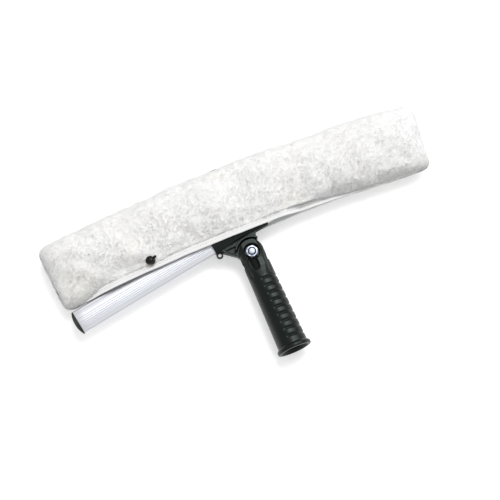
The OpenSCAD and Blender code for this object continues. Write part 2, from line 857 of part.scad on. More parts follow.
module snap_socket() {
    color(brass_metal)
    at_stud()
        translate([0, 0, stud_room - stud_inner_t - soft_clear])
            difference() {
                cylinder(r = stud_inner_r, h = stud_inner_t);
                translate([0, 0, -1])
                    cylinder(r = knob_r + knob_play, h = stud_inner_t + 2);
            }
}

module snap_stud() {
    color(brass_metal)
    at_stud()
        mirror([0, 0, 1])
            union() {
                translate([0, 0, stud_room - stud_inner_t - soft_clear])
                    cylinder(r = stud_inner_r, h = stud_inner_t);
                translate([0, 0, stud_room - stud_inner_t - soft_clear - knob_h])
                    cylinder(r = knob_r, h = knob_h + eps);
            }
}

module snap_post() {
    color(dark_metal)
    at_stud()
        mirror([0, 0, 1])
            union() {
                translate([0, 0, stud_bottom])
                    cylinder(r = stud_cap_r, h = post_disc_t);
                translate([0, 0, stud_room])
                    cylinder(r = stud_shank_r, h = stud_bottom - stud_room + eps);
            }
}

handle_grip();
pivot_bolt();
pivot_nut();
pivot_bush();
friction_washer_front();
friction_washer_back();
pivot_bracket();
bar_profile();
end_cap_left();
end_cap_right();
bracket_rivets();
sleeve_fleece();
hem_tape_front();
hem_tape_back();
snap_cap();
snap_socket();
snap_stud();
snap_post();
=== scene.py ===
import json
import math

import bmesh
import bpy
import numpy as np
from mathutils import Matrix, Vector
from mathutils.kdtree import KDTree


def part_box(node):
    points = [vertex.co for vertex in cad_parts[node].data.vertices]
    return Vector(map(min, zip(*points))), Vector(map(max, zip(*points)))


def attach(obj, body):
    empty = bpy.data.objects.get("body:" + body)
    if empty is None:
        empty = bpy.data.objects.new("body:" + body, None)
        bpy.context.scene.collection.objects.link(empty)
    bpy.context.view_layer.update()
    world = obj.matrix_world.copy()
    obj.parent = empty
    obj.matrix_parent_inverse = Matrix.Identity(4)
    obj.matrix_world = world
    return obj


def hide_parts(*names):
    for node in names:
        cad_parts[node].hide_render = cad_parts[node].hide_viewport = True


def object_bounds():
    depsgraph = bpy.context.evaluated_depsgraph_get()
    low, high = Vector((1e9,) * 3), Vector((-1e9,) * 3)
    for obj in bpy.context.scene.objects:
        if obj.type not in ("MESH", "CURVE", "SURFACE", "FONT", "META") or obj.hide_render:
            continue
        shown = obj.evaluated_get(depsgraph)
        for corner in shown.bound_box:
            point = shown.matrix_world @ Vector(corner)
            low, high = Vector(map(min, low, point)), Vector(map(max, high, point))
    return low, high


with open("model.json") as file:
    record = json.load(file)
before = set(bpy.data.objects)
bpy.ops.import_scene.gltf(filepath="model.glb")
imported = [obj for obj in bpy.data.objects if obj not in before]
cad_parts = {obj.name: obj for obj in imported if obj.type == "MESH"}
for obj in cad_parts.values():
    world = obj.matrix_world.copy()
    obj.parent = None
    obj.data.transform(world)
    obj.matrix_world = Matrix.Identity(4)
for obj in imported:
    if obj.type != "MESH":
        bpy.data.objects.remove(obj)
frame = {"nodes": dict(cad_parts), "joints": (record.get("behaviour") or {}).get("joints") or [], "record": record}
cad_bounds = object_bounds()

# Camera: it looks steeply down on the tool as it lies on a table, from about 1.6 m away and
# turned a little towards the bar's right arm.
mm = 0.001
view_height = math.radians(75)
view_turn = math.radians(23.54)
view_distance = 1.6362
view_aim = Vector((-0.00013, 0.12383, 0))
view_field = math.radians(20)
view_ahead = Vector((math.sin(view_turn), math.cos(view_turn), 0))
view_right = Vector((math.cos(view_turn), -math.sin(view_turn), 0))
look = view_ahead * math.cos(view_height) - Vector((0, 0, math.sin(view_height)))
lens = bpy.data.cameras.new("camera")
lens.angle = view_field
camera = bpy.data.objects.new("camera", lens)
camera.location = view_aim - look * view_distance
camera.rotation_euler = look.to_track_quat("-Z", "Y").to_euler()
bpy.context.scene.collection.objects.link(camera)
bpy.context.scene.camera = camera
bpy.context.scene.view_settings.view_transform = "Standard"

# Lamps: a large soft box far above the picture's upper edge, a weaker one lower down at its
# right and an even pale room. Together they show a colour about as it is written.
key_place = view_right * 1 + view_ahead * 3.7 + Vector((0, 0, 7.3))
key_power = 355
key_size = 3.4
side_place = view_right * 4.2 + view_ahead * 3.8 + Vector((0, 0, 5.6))
side_power = 115
side_size = 3.2
room_strength = 0.62


def soft_box(name, place, power, size):
    """A square lamp that faces the middle of the tool."""
    lamp = bpy.data.lights.new(name, "AREA")
    lamp.energy = power
    lamp.size = size
    box = bpy.data.objects.new(name, lamp)
    box.location = view_aim + place
    box.rotation_euler = (-place).to_track_quat("-Z", "Y").to_euler()
    bpy.context.scene.collection.objects.link(box)


soft_box("key_box", key_place, key_power, key_size)
soft_box("side_box", side_place, side_power, side_size)
room = bpy.data.worlds.new("room")
room.use_nodes = True
room.node_tree.nodes["Background"].inputs["Color"].default_value = (1, 1, 1, 1)
room.node_tree.nodes["Background"].inputs["Strength"].default_value = room_strength
bpy.context.scene.world = room


# Floor: a plain white table top that runs out past every view. It keeps the tool's soft
# shadow, and a little light of its own brings the bare table up to white.
floor_size = 12
floor_white = 0.85
floor_glow = 0.42


class Shade:
    """One output of a shader node. A sum or product with it becomes a Math node."""

    def __init__(self, tree, socket=None):
        self.tree = tree
        self.socket = socket

    def node(self, kind, settings, inputs, output=0):
        """Adds a node: first its settings, then the values or links of its sockets."""
        made = self.tree.nodes.new(kind)
        for name, value in settings.items():
            if name == "stops":
                for stop, (place, grey) in zip(made.color_ramp.elements, value):
                    stop.position = place
                    stop.color = (grey, grey, grey, 1)
            else:
                setattr(made, name, value)
        for name, value in inputs.items():
            if isinstance(value, Shade):
                self.tree.links.new(value.socket, made.inputs[name])
            else:
                made.inputs[name].default_value = value
        return Shade(self.tree, made.outputs[output]) if made.outputs else None

    def maths(self, operation, first, second):
        """A Math node on two values."""
        return self.node("ShaderNodeMath", {"operation": operation}, {0: first, 1: second})

    def __add__(self, other):
        return self.maths("ADD", self, other)

    def __radd__(self, other):
        return self.maths("ADD", other, self)

    def __sub__(self, other):
        return self.maths("SUBTRACT", self, other)

    def __rsub__(self, other):
        return self.maths("SUBTRACT", other, self)

    def __mul__(self, other):
        return self.maths("MULTIPLY", self, other)

    def __rmul__(self, other):
        return self.maths("MULTIPLY", other, self)


def new_material(name):
    """An empty material, and the start for its nodes."""
    material = bpy.data.materials.new(name)
    material.use_nodes = True
    material.node_tree.nodes.clear()
    return material, Shade(material.node_tree)


def table_top():
    """White paint under the tool: the camera and reflections also see its faint glow."""
    material, start = new_material("table_top")
    paint = start.node("ShaderNodeBsdfDiffuse", {}, {"Color": (floor_white, floor_white, floor_white, 1)})
    ray = start.node("ShaderNodeLightPath", {}, {}, "Is Camera Ray")
    glossy = start.node("ShaderNodeLightPath", {}, {}, "Is Glossy Ray")
    clear = start.node("ShaderNodeLightPath", {}, {}, "Is Transmission Ray")
    seen = ray + glossy + clear
    glow = start.node("ShaderNodeEmission", {}, {"Color": (1, 1, 1, 1), "Strength": seen * floor_glow})
    both = start.node("ShaderNodeAddShader", {}, {0: paint, 1: glow})
    start.node("ShaderNodeOutputMaterial", {}, {"Surface": both})
    return material


floor_mesh = bpy.data.meshes.new("floor")
floor_half = floor_size / 2
floor_corners = [
    (x * floor_half, y * floor_half, cad_bounds[0].z) for x, y in ((-1, -1), (1, -1), (1, 1), (-1, 1))
]
floor_mesh.from_pydata(floor_corners, [], [(0, 1, 2, 3)])
floor_mesh.materials.append(table_top())
floor = bpy.data.objects.new("floor", floor_mesh)
bpy.context.scene.collection.objects.link(floor)


# Handle: one injection moulding in glass-filled nylon with a satin skin. The grip has a bored
# socket for a pole and ten finger ribs on its right side; the flat head is forked for the pivot.
grip_low, grip_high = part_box("handle_grip")
joints = {joint["name"]: joint for joint in frame["joints"]}
mounts = {mount["name"]: mount for mount in frame["record"]["mounts"]}
pivot_y = joints["head_swivel"]["pos_m"][1] / mm
mouth_y = grip_low.y / mm
head_end = grip_high.y / mm
rim_r = grip_high.x / mm
head_r = head_end - pivot_y
head_half = 13
grip_r_low = 17.6
grip_r_high = 15.8
neck_y = pivot_y - 32
head_y = neck_y + 14
shoulder_y = pivot_y - 8
socket_r = mounts["pole_socket"]["dims"]["r_mm"]
socket_len = mounts["pole_socket"]["dims"]["length_mm"]
lip_r = 16.4
slot_r = 20
slot_half = 5.4
bolt_hole_r = 4.1
nut_seat = 8.5
nut_recess_r = 9.2
bolt_pocket_r = 13.3 / math.sqrt(3)
bolt_pocket_floor = -8.4
pocket_x = -3
pocket_top = pivot_y - 7
pocket_low = pivot_y - 17.5
pocket_half_w = 4.4
pocket_draft = 0.5
pocket_floor = 7.9
pocket_slope = 0.4
nick_x = 16.6
nick_y = pivot_y - 12.5
nick_r = 2
crown_bend = 45
mould_grain = 0.5
rib_pitch = 9.1
first_groove = 11
groove_count = 9
groove_depth = 1.5
groove_width = 1.25
groove_ends = [math.radians(angle) for angle in (-95, -75, 94, 106)]
groove_shallow = 0.55
plastic_black = (0.0018, 0.0025, 0.0022, 1)
plastic_grey = (0.0045, 0.0056, 0.005, 1)


def smooth_step(x, start, stop):
    """0 before start, 1 after stop and smooth between them."""
    share = np.clip((x - start) / (stop - start), 0, 1)
    return share * share * (3 - 2 * share)


def loft_faces(rings, count, closed=False):
    """Faces of a skin over rings of points, with its two ends shut or joined to each other."""
    faces = []
    for ring in range(rings if closed else rings - 1):
        here = ring * count
        there = (ring + 1) % rings * count
        faces += [
            (here + i, here + (i + 1) % count, there + (i + 1) % count, there + i)
            for i in range(count)
        ]
    if not closed:
        faces.append(tuple(reversed(range(count))))
        faces.append(tuple(range((rings - 1) * count, rings * count)))
    return faces


def new_piece(name, points, faces):
    """A smooth mesh from points in mm, with every face turned outwards."""
    mesh = bpy.data.meshes.new(name)
    mesh.from_pydata((np.asarray(points).reshape(-1, 3) * mm).tolist(), [], faces)
    work = bmesh.new()
    work.from_mesh(mesh)
    bmesh.ops.recalc_face_normals(work, faces=work.faces)
    work.to_mesh(mesh)
    work.free()
    mesh.shade_smooth()
    piece = bpy.data.objects.new(name, mesh)
    bpy.context.scene.collection.objects.link(piece)
    return piece


def lathe(name, profile, base=(0, 0, 0), along="z", count=72):
    """A turned form: the profile's pairs are a radius and a place along the axis."""
    turn = np.linspace(0, 2 * math.pi, count, endpoint=False)
    rings = [np.stack([r * np.cos(turn), r * np.sin(turn), np.full(count, h)], 1) for r, h in profile]
    points = np.array(rings)
    if along == "y":
        points = points[..., [0, 2, 1]]
    return new_piece(name, points + np.array(base), loft_faces(len(profile), count))


def change(piece, kind, **settings):
    """Puts a modifier on a piece and keeps its result as the piece's mesh."""
    modifier = piece.modifiers.new(kind.lower(), kind)
    for name, value in settings.items():
        setattr(modifier, name, value)
    seen = piece.evaluated_get(bpy.context.evaluated_depsgraph_get())
    piece.data = bpy.data.meshes.new_from_object(seen)
    piece.modifiers.clear()
    return piece


def cut(piece, *tools):
    """Takes the forms of the tools out of a piece."""
    for tool in tools:
        change(piece, "BOOLEAN", object=tool, operation="DIFFERENCE", solver="EXACT")
        bpy.data.objects.remove(tool)
    return piece


def moulded(piece, grain, turns):
    """Rounds every edge a little, as a mould does: an even mesh of one grain, then smoothed."""
    change(piece, "REMESH", mode="VOXEL", voxel_size=grain * mm)
    change(piece, "SMOOTH", factor=0.5, iterations=turns)
    piece.data.shade_smooth()
    return piece


def grip_radius(y, turn):
    """Radius of the round grip, with its rim and with the grooves between its ribs."""
    profile_y = [mouth_y, mouth_y + 0.4, mouth_y + 1.2, 0.2, 0.8, 2.2, 3.4, neck_y, head_end]
    profile_r = [rim_r - 0.8, rim_r - 0.2, rim_r, rim_r, rim_r - 0.3, grip_r_low + 0.2, grip_r_low]
    radius = np.interp(y, profile_y, profile_r + [grip_r_high, grip_r_high])
    away = [(y - first_groove - k * rib_pitch) / groove_width for k in range(groove_count)]
    grooves = sum(np.exp(-(np.abs(part) ** 2.4)) for part in away)
    turn = (turn + math.pi) % (2 * math.pi) - math.pi
    share = smooth_step(turn, *groove_ends[:2]) * (1 - smooth_step(turn, *groove_ends[2:]))
    deep = groove_shallow + (1 - groove_shallow) * smooth_step(turn, 0, math.radians(40))
    return radius - groove_depth * grooves * share * deep


def handle_body():
    """The moulding's skin: a round grip that runs into a flat head, round in plan."""
    y = np.concatenate([
        np.arange(mouth_y, pivot_y, 0.45),
        pivot_y + head_r * np.sin(np.linspace(0, math.pi / 2, 40)),
    ])
    turn = np.linspace(0, 2 * math.pi, 120, endpoint=False)
    y, turn = np.meshgrid(y, turn, indexing="ij")
    radius = grip_radius(y, turn)
    past = np.clip(y - pivot_y, 0, head_r)
    wide = np.interp(y, [pivot_y - slot_r, shoulder_y], [grip_r_high, head_r])
    wide = np.where(y > pivot_y, np.sqrt(np.maximum(head_r ** 2 - past ** 2, 0)), wide)
    wide = np.where(y < pivot_y - slot_r, radius, wide)
    thick = np.where(y < neck_y, radius, np.interp(y, [neck_y, head_y], [grip_r_high, head_half]))
    square = np.maximum(np.abs(np.cos(turn)), np.abs(np.sin(turn)))
    x = wide * np.cos(turn) / square
    z = thick * np.sin(turn) / square
    shrink = np.minimum(1, radius / np.maximum(np.hypot(x, z), 1e-6))
    neck = smooth_step(pivot_y - y, 2, 12) * (1 - smooth_step(pivot_y - y, 26, 34))
    crowned = 1 - neck * x ** 2 / (2 * crown_bend * head_half)
    points = np.stack([x * shrink, y, z * shrink * crowned], -1)
    return new_piece("grip", points, loft_faces(points.shape[0], points.shape[1]))


def keyhole_pocket():
    """The oblong pocket that runs down from the nut's recess, a little wider at its mouth."""
    turn = np.linspace(0, 2 * math.pi, 72, endpoint=False)
    end_y = np.where(np.sin(turn) > 0, pocket_top, pocket_low)
    deep_x = pocket_x + pocket_half_w * np.cos(turn)
    deep_z = pocket_floor + pocket_slope * (deep_x - pocket_x)
    deep = [deep_x, end_y + pocket_half_w * np.sin(turn), deep_z]
    mouth_r = pocket_half_w + pocket_draft
    mouth_z = np.full(len(turn), head_half + 1)
    mouth = [pocket_x + mouth_r * np.cos(turn), end_y + mouth_r * np.sin(turn), mouth_z]
    return new_piece("pocket", np.stack([deep, mouth]).transpose(0, 2, 1), loft_faces(2, len(turn)))


def new_finish(name):
    """An empty material, the start for its nodes and the place on the object in metres."""
    material, start = new_material(name)
    return material, start, start.node("ShaderNodeTexCoord", {}, {}, "Object")


def noise(place, scale, detail, **more):
    """Soft random clouds, with about scale of them to the metre."""
    return place.node("ShaderNodeTexNoise", {}, {"Vector": place, "Scale": scale, "Detail": detail, **more})


def blend(share, first, second):
    """A colour between two, by the share of the second."""
    return share.node("ShaderNodeMix", {"data_type": "RGBA"}, {0: share, 6: first, 7: second}, 2)


def bumped(height, strength, depth):
    """The normal of a surface that a height makes uneven."""
    return height.node("ShaderNodeBump", {}, {"Strength": strength, "Distance": depth, "Height": height})


def finished(material, start, values):
    """Closes a material with one surface of these values."""
    surface = start.node("ShaderNodeBsdfPrincipled", {}, values)
    start.node("ShaderNodeOutputMaterial", {}, {"Surface": surface})
    return material


def satin_plastic(name, dark, pale, seam=False):
    """Black moulded plastic: a fine eroded skin, faint flow clouds and a mould seam."""
    material, start, place = new_finish(name)
    clouds = noise(place, 60, 3)
    skin = noise(place, 1600, 2)
    rubs = noise(place, 240, 4, Roughness=0.7)
    worn = start.node("ShaderNodeValToRGB", {"stops": [(0.56, 0), (0.8, 1)]}, {"Fac": rubs})
    height = skin * 0.6 + rubs * 0.4
    if seam:
        split = start.node("ShaderNodeSeparateXYZ", {}, {"Vector": place}, "Z")
        off_seam = start.node("ShaderNodeMath", {"operation": "ABSOLUTE"}, {0: split})
        line = start.node("ShaderNodeMapRange", {}, {
            "Value": off_seam, "From Min": 0.0001, "From Max": 0.0003, "To Min": 1, "To Max": 0,
        })
        height = height + line * 1.5
    return finished(material, start, {
        "Base Color": blend(clouds, dark, pale), "Roughness": 0.3 + clouds * 0.08 + worn * 0.08,
        "Specular IOR Level": 0.28, "Specular Tint": (0.84, 1, 0.94, 1),
        "Normal": bumped(height, 0.35, 0.00006),
    })


def dress(piece, material, body, slot, *nodes):
    """Gives a finished mesh its material and its body, and hides the CAD nodes it stands for; its slot is not
    used.
    """
    piece.data.materials.clear()
    piece.data.materials.append(material)
    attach(piece, body)
    if nodes:
        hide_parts(*nodes)
    return piece


grip = handle_body()
pivot = (0, pivot_y, 0)
socket_profile = [(lip_r + 0.6, mouth_y - 1), (lip_r, mouth_y), (socket_r, 0), (socket_r, socket_len)]
bolt_pocket_profile = [(bolt_pocket_r, -head_half - 1), (bolt_pocket_r, bolt_pocket_floor)]
cut(
    grip,
    lathe("socket", socket_profile, along="y"),
    lathe("slot", [(slot_r, -slot_half), (slot_r, slot_half)], pivot, count=144),
    lathe("bolt_hole", [(bolt_hole_r, -head_half - 1), (bolt_hole_r, head_half + 1)], pivot),
    lathe("nut_recess", [(nut_recess_r, nut_seat), (nut_recess_r + 0.3, head_half + 1)], pivot),
    lathe("bolt_pocket", bolt_pocket_profile, pivot, count=6),
    keyhole_pocket(),
    lathe("nick", [(nick_r, -head_half), (nick_r, head_half)], (nick_x, nick_y, 0)),
)
moulded(grip, mould_grain, 4)
grip_plastic = satin_plastic("satin_black_plastic", plastic_black, plastic_grey, seam=True)
dress(grip, grip_plastic, "handle", "black_plastic", "handle_grip")


# Pivot bolt: an M8 hexagon bolt in bright zinc plate. Its head sits in the pocket at the back
# and its rolled thread stands just out of the nut at the front.
thread_r = 4
thread_depth = 0.55
thread_pitch = 1.25
thread_start = 3.4
bolt_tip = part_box("pivot_bolt")[1].z / mm
bolt_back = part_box("pivot_bolt")[0].z / mm
bolt_seat = -8.5
hex_across = 13
blue_zinc = (0.19, 0.22, 0.275, 1)
pale_zinc = (0.38, 0.41, 0.46, 1)


def thread_share(z, turn):
    """Depth of a rolled thread from 0 on its crest to 1 at its root."""
    phase = (z / thread_pitch - turn / (2 * math.pi)) % 1
    return 1 - np.abs(2 * phase - 1)


def hexagon(turn, across):
    """Radius of a hexagon in the direction of turn."""
    part = (turn + math.pi / 6) % (math.pi / 3) - math.pi / 6
    return across / 2 / np.cos(part)


def pivot_pieces(profile, count, name, turned=0, closed=False):
    """A form round the pivot's axis. A profile's radius may be a function of the direction."""
    turn = np.linspace(0, 2 * math.pi, count, endpoint=False)
    rings = []
    for radius, z in profile:
        r = radius(turn) if callable(radius) else radius
        ring = [r * np.cos(turn + turned), pivot_y + r * np.sin(turn + turned), np.full(count, z)]
        rings.append(np.stack(ring, 1))
    return new_piece(name, np.array(rings), loft_faces(len(rings), count, closed))


def zinc_plate(name):
    """Bright zinc on steel: thin blue-grey clouds, fine turning marks and small dull spots."""
    material, start, place = new_finish(name)
    clouds = noise(place, 220, 4)
    grain = noise(place, 2200, 2)
    return finished(material, start, {
        "Base Color": blend(clouds, blue_zinc, pale_zinc), "Metallic": 1,
        "Roughness": 0.26 + clouds * 0.16, "Normal": bumped(grain, 0.3, 0.00004),
    })


def chamfered(radius, cap):
    """A hexagon's radius that a turned chamfer cuts back to cap."""
    return lambda turn: np.minimum(hexagon(turn, radius), cap)


def threaded(outer, z):
    """The bolt's radius at a height, with its rolled thread."""
    return lambda turn: np.minimum(thread_r - thread_depth * thread_share(z, turn), outer)


hex_corner = hex_across / math.sqrt(3)
bolt_profile = [(0.01, bolt_back), (hex_across / 2 - 0.2, bolt_back)]
bolt_profile += [(chamfered(hex_across, hex_across / 2 + 0.05), bolt_back + 0.05)]
bolt_profile += [(chamfered(hex_across, hex_corner), z) for z in (bolt_back + 0.65, bolt_seat)]
bolt_profile += [(thread_r, bolt_seat + 0.05), (thread_r, thread_start - 0.5)]
for z in np.arange(thread_start, bolt_tip - 0.02, thread_pitch / 8):
    bolt_profile.append((threaded(thread_r - max(0, z - bolt_tip + 0.9), z), z))
bolt_profile += [(thread_r - 0.95, bolt_tip - 0.03), (thread_r - 1.2, bolt_tip), (0.01, bolt_tip)]
bolt = pivot_pieces(bolt_profile, 96, "bolt")
bolt.data.set_sharp_from_angle(angle=math.radians(38))
zinc = zinc_plate("bright_zinc_plate")
dress(bolt, zinc, "handle", "zinc_steel", "pivot_bolt")


# Nut: an M8 hexagon nut, chamfered on its upper side, in the same zinc plate. It clamps the
# fork on the bush, and its flats stand askew in the round recess as it was last tightened.
nut_h = 5.6
nut_turn = math.radians(-23.5)
nut_top = nut_seat + nut_h
nut_profile = [(thread_r + 0.1, nut_seat), (hex_across / 2, nut_seat)]
nut_profile += [(chamfered(hex_across, hex_corner), z) for z in (nut_seat + 0.05, nut_top - 0.62)]
nut_profile += [(chamfered(hex_across, hex_across / 2 + 0.3), nut_top - 0.2)]
nut_profile += [(hex_across / 2 - 0.15, nut_top)]
nut_profile += [(thread_r + 1, nut_top), (thread_r + 0.1, nut_top - 1)]
nut = pivot_pieces(nut_profile, 96, "nut", nut_turn, closed=True)
nut.data.set_sharp_from_angle(angle=math.radians(28))
dress(nut, zinc, "handle", "zinc_steel", "pivot_nut")


# Bush and friction washers: a turned brass tube that the fork clamps, and two punched nylon
# discs that give the swivel its drag. They lie inside the fork and keep their CAD form.
stained_brass = (0.42, 0.3, 0.14, 1)
bright_brass = (0.72, 0.55, 0.28, 1)
nylon_ivory = (0.7, 0.68, 0.6, 1)
nylon_pale = (0.84, 0.83, 0.76, 1)


def turned_brass(name):
    """Brass off the lathe: warm, with fine turning rings and a dull stain here and there."""
    material, start, place = new_finish(name)
    lathe_lines = {"Vector": place, "Scale": 900, "Distortion": 1}
    rings = start.node("ShaderNodeTexWave", {"bands_direction": "Z"}, lathe_lines)
    stain = noise(place, 300, 4)
    return finished(material, start, {
        "Base Color": blend(stain, stained_brass, bright_brass), "Metallic": 1,
        "Roughness": 0.22 + stain * 0.25, "Normal": bumped(rings, 0.3, 0.00003),
    })


def natural_nylon(name):
    """Unpigmented nylon: ivory, waxy, rubbed shiny where it slides."""
    material, start, place = new_finish(name)
    clouds = noise(place, 150, 3)
    return finished(material, start, {
        "Base Color": blend(clouds, nylon_ivory, nylon_pale),
        "Roughness": 0.3 + clouds * 0.2, "Normal": bumped(clouds, 0.2, 0.00005),
    })


def refinish(node, material):
    """Gives a CAD node that keeps its form another material."""
    for slot in frame["nodes"][node].material_slots:
        slot.material = material


brass = turned_brass("turned_brass")
nylon = natural_nylon("natural_nylon")
refinish("pivot_bush", brass)
refinish("friction_washer_front", nylon)
refinish("friction_washer_back", nylon)


# Bracket: the second moulding, in the same black nylon. Its tongue turns in the fork, a curved
# collar hides the gap round the head, and its saddle grips the bar; a small eye hangs it up.
def copy_of(node, name):
    """A mesh of its own with the form of a CAD node."""
    piece = bpy.data.objects.new(name, frame["nodes"][node].data.copy())
    bpy.context.scene.collection.objects.link(piece)
    return piece


bracket = moulded(copy_of("pivot_bracket", "bracket"), mould_grain, 3)
bracket_plastic = satin_plastic("satin_black_bracket", plastic_black, plastic_grey)
dress(bracket, bracket_plastic, "t_bar", "black_plastic", "pivot_bracket")


# Bar: a hollow aluminium extrusion, anodised satin. Both faces are slightly crowned and carry
# five fine grooves near the middle; the die has left faint lines along its whole length.
bar_along = np.array(joints["sleeve_pull"]["axis"])
bar_across = np.array([-bar_along[1], bar_along[0], 0])
pivot_point = np.array(joints["head_swivel"]["pos_m"]) / mm
bar_turn = math.atan2(bar_along[1], bar_along[0])
bar_len = 420
bar_w = 29
bar_t = 11
bar_edge_r = 3.5
bar_wall = 1.5
bar_offset = 36
line_count = 5
line_pitch = 2.5
line_start = 2.9
line_depth = 0.6
line_width = 0.42
rivet_span = 44
rivet_r = 2.45
saw_burr = 0.25
bar_grey = (0.6, 0.615, 0.66, 1)
bar_bright = (0.84, 0.85, 0.88, 1)


def from_bar(x, y, z):
    """Points in the row frame, in mm, of places along, across and above the bar."""
    x, y, z = (part[..., None] for part in np.broadcast_arrays(x, y, z))
    return pivot_point + x * bar_along + y * bar_across + z * np.array([0, 0, 1])


def bar_outline(inset, grooves):
    """One turn round the extrusion's section, as places across and above its middle."""
    edge_x = bar_w / 2 - bar_edge_r
    drop = bar_t / 2 - bar_edge_r
    crown_r = (edge_x ** 2 + drop ** 2) / (2 * drop)
    across = np.linspace(-edge_x, edge_x, 161)
    face = np.sqrt((crown_r - inset) ** 2 - across ** 2) - crown_r + bar_t / 2
    for k in range(line_count):
        away = (across - line_start + k * line_pitch) / line_width
        face = face - grooves * line_depth * np.exp(-(away ** 4))
    half_turn = np.linspace(math.pi / 2, -math.pi / 2, 17)[1:-1]
    round_x = edge_x + (bar_edge_r - inset) * np.cos(half_turn)
    round_z = (bar_edge_r - inset) * np.sin(half_turn)
    places = np.concatenate([across, round_x, across[::-1], -round_x])
    heights = np.concatenate([face, round_z, -face[::-1], -round_z])
    return places, heights


def bar_body():
    """The extrusion, hollow from end to end, as one closed skin."""
    outer = bar_outline(0, 1)
    inner = bar_outline(bar_wall, 0)
    stations = [-bar_len / 2, -bar_len / 2 + saw_burr]
    stations += list(np.linspace(-bar_len / 2 + 10, bar_len / 2 - 10, 21))
    stations += [bar_len / 2 - saw_burr, bar_len / 2]
    rings = []
    for x in stations:
        ease_in = 0.985 if abs(x) == bar_len / 2 else 1
        rings.append(from_bar(x, bar_offset + outer[0] * ease_in, outer[1] * ease_in))
    for x in reversed(stations):
        rings.append(from_bar(x, bar_offset + inner[0], inner[1]))
    return new_piece("bar", np.array(rings), loft_faces(len(rings), len(outer[0]), closed=True))


def laid_along(place, turn, stretch=(1, 1, 1)):
    """The place in axes that lie along a piece and are stretched by so much each."""
    return place.node("ShaderNodeMapping", {"vector_type": "TEXTURE"}, {
        "Vector": place, "Rotation": (0, 0, turn), "Scale": stretch,
    })


def drawn_aluminium(name):
    """Satin anodised extrusion: blue-grey, with die lines that run along the bar."""
    material, start, place = new_finish(name)
    lines = noise(laid_along(place, bar_turn, (0.25, 0.00035, 0.00035)), 1, 3)
    bands = noise(laid_along(place, bar_turn, (0.06, 0.004, 0.004)), 1, 2)
    marks = noise(place, 500, 4)
    return finished(material, start, {
        "Base Color": blend(lines * 0.6 + bands * 0.4, bar_grey, bar_bright), "Metallic": 0.75,
        "Roughness": 0.36 + lines * 0.12 + bands * 0.06,
        "Normal": bumped(lines + marks * 0.25, 0.5, 0.00003),
    })


bar = bar_body()
for rivet_x in (-rivet_span / 2, rivet_span / 2):
    rivet_place = from_bar(np.array(rivet_x), bar_offset, 0)
    cut(bar, lathe("rivet_hole", [(rivet_r, -bar_t), (rivet_r, bar_t)], rivet_place, count=48))
bar.data.set_sharp_from_angle(angle=math.radians(50))
dress(bar, drawn_aluminium("drawn_aluminium"), "t_bar", "bar_aluminium", "bar_profile")


# End caps: two black moulded plugs with a low domed face, pushed into the ends of the bar.
# They have the bracket's plastic with a slightly duller skin.
cap_black = (0.016, 0.016, 0.016, 1)
cap_grey = (0.03, 0.031, 0.03, 1)
cap_plastic = satin_plastic("dull_black_cap", cap_black, cap_grey)
for cap_node in ("end_cap_left", "end_cap_right"):
    cap = moulded(copy_of(cap_node, cap_node + "_moulding"), 0.3, 4)
    dress(cap, cap_plastic, "t_bar", "cap_plastic", cap_node)


# Rivets: two plain aluminium rivets through saddle and bar, under the front hem. Their heads
# lie in sunk seats, so they keep their CAD form under a hammered finish.
rivet_grey = (0.52, 0.52, 0.54, 1)
rivet_bright = (0.76, 0.76, 0.77, 1)


def peened_aluminium(name):
    """Soft aluminium with shallow hammer dents and a dull skin."""
    material, start, place = new_finish(name)
    dents = start.node("ShaderNodeTexVoronoi", {}, {"Vector": place, "Scale": 900}, "Distance")
    clouds = noise(place, 400, 3)
    return finished(material, start, {
        "Base Color": blend(clouds, rivet_grey, rivet_bright), "Metallic": 1,
        "Roughness": 0.35 + clouds * 0.2, "Normal": bumped(dents, 0.4, 0.0001),
    })


refinish("bracket_rivets", peened_aluminium("peened_aluminium"))


# Sleeve: a tube of knitted white plush, sewn shut at both ends and slit along its lower edge.
# Its backing is padded by the dense pile, so it is modelled as a soft, slightly wavy wall.
cap_out = 4.8
end_room = 18
bar_half = bar_len / 2 + cap_out
sleeve_half = bar_half + end_room
sleeve_shift = 18
sleeve_bow = 10
bow_r = sleeve_half ** 2 / (2 * sleeve_bow)
plush_up = 44
plush_down = 35
crown = 18.6
floor_drop = -cad_bounds[0].z / mm
plush_wall = 9
tape_w = 5.6
cavity_up = plush_up - plush_wall
cavity_down = plush_down - plush_wall
tip_room = 8
arm_room = 6.4
tip_t = cavity_up - bar_w / 2 - tip_room
arm_t = plush_down + tape_w + bar_w / 2 + arm_room
skew = math.atan((tip_t + arm_t) / (2 * bar_half))
tip_s = bar_half - sleeve_shift
sleeve_w = bar_offset + (tip_s * math.sin(skew) - tip_t + tip_s ** 2 / (2 * bow_r)) / math.cos(skew)
mouth_half = 8.68
pocket_half = 5.8
slit_left = 14 - sleeve_half
slit_right = 116
slit_fade_left = 56
slit_fade_right = 44
end_half = 3.2
cavity_end = 10
corner_up = 13
corner_down = 9
pile_sink = 1.7
lip_sink = 0.5
cloth_grain = 2.6
cloth_steps = 20
swell = 2
even_turns = 30
corner_cover = 4.5
right_cover = 3.4


def on_sleeve(s, t, z):
    """Row-frame points, in mm, of places along, across and above the bowed sleeve."""
    turn = s / bow_r
    x = (bow_r + t) * np.sin(turn)
    y = (bow_r + t) * np.cos(turn) - bow_r
    return from_bar(
        sleeve_shift + x * math.cos(skew) + y * math.sin(skew),
        sleeve_w - x * math.sin(skew) + y * math.cos(skew),
        z,
    )


def off_sleeve(points):
    """Places along, across and above the sleeve of row-frame points in mm."""
    x = (points - pivot_point) @ bar_along - sleeve_shift
    y = (points - pivot_point) @ bar_across - sleeve_w
    level = x * math.cos(skew) - y * math.sin(skew)
    rise = x * math.sin(skew) + y * math.cos(skew) + bow_r
    return bow_r * np.arctan2(level, rise), np.hypot(level, rise) - bow_r, points[:, 2]


